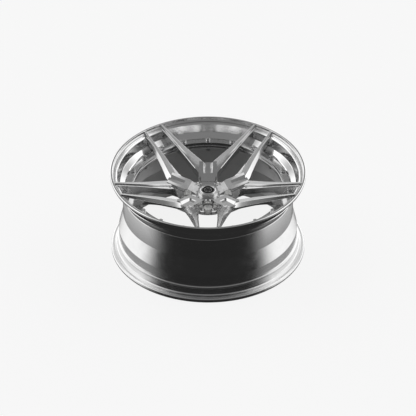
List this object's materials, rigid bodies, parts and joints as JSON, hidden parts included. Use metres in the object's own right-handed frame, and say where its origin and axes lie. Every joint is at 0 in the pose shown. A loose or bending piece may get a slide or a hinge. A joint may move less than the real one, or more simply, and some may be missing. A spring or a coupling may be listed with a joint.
{
  "type": "car wheel rim",
  "caption": "Deep-dish forged car wheel with Y-shaped spoke pairs, a bolted split rim, snap-in centre cap and a clamp-in tyre valve with screw cap.",
  "frame": {"origin": "centre of the flat mounting face, on the wheel axis, in the middle of the lug hole circle", "axes": "+Z along the wheel axis, out of the visible face; +Y through the middle of one spoke; +X to the right seen from the front with +Y up"},
  "size_m": [0.543, 0.543, 0.2526],
  "materials": {
    "centre": "brushed forged and milled, clear coated",
    "lip": "lathe polished",
    "barrel": "satin spun",
    "seal": "matt",
    "bolt": "bright plated",
    "washer": "plated",
    "nut": "zinc plated",
    "insert": "satin turned",
    "cap_shell": "moulded",
    "cap_ring": "polished",
    "cap_badge": "gloss",
    "spring": "drawn wire",
    "valve": "turned",
    "valve_core": "turned",
    "valve_cap": "turned, dark anodised"
  },
  "bodies": {
    "wheel": {"forged_centre": "centre", "outer_lip": "lip", "inner_barrel": "barrel", "rim_seal": "seal", "assembly_bolts": "bolt", "bolt_washers": "washer", "assembly_nuts": "nut", "nut_washers": "washer", "lug_seat_inserts": "insert", "valve_stem": "valve", "valve_grommet": "seal", "valve_washer": "valve", "valve_nut": "valve", "valve_core": "valve_core", "valve_core_seal": "seal"},
    "centre_cap": {"cap_shell": "cap_shell", "cap_trim_ring": "cap_ring", "cap_badge": "cap_badge", "cap_emblem": "cap_ring", "cap_spring_ring": "spring", "cap_seal": "seal"},
    "valve_pin": {"valve_pin": "valve_core"},
    "valve_cap_liner": {"valve_cap_seal": "seal"},
    "valve_cap": {"valve_cap": "valve_cap"}
  },
  "joints": [
    {"name": "centre_cap_pull", "type": "slide", "parent": "wheel", "child": "centre_cap", "axis": [0, 0, 1], "range_m": [0, 0.03], "deforming": ["cap_spring_ring"]},
    {"name": "valve_cap_lift", "type": "slide", "parent": "wheel", "child": "valve_cap_liner", "axis": [-0.9511, -0.309, 0], "range_m": [0, 0.00556]},
    {"name": "valve_cap_turn", "type": "hinge", "parent": "valve_cap_liner", "child": "valve_cap", "pos_m": [0.19687, 0.06397, 0.0023], "axis": [-0.9511, -0.309, 0], "range_deg": [0, 2520]},
    {"name": "valve_pin_press", "type": "slide", "parent": "wheel", "child": "valve_pin", "axis": [0.9511, 0.309, 0], "range_m": [0, 0.0012], "stiffness_N_per_m": 600, "springref_m": -0.001}
  ],
  "couplings": [
    {"joint": "valve_cap_turn", "follows": "valve_cap_lift", "rad_per_m": 7915.3}
  ]
}
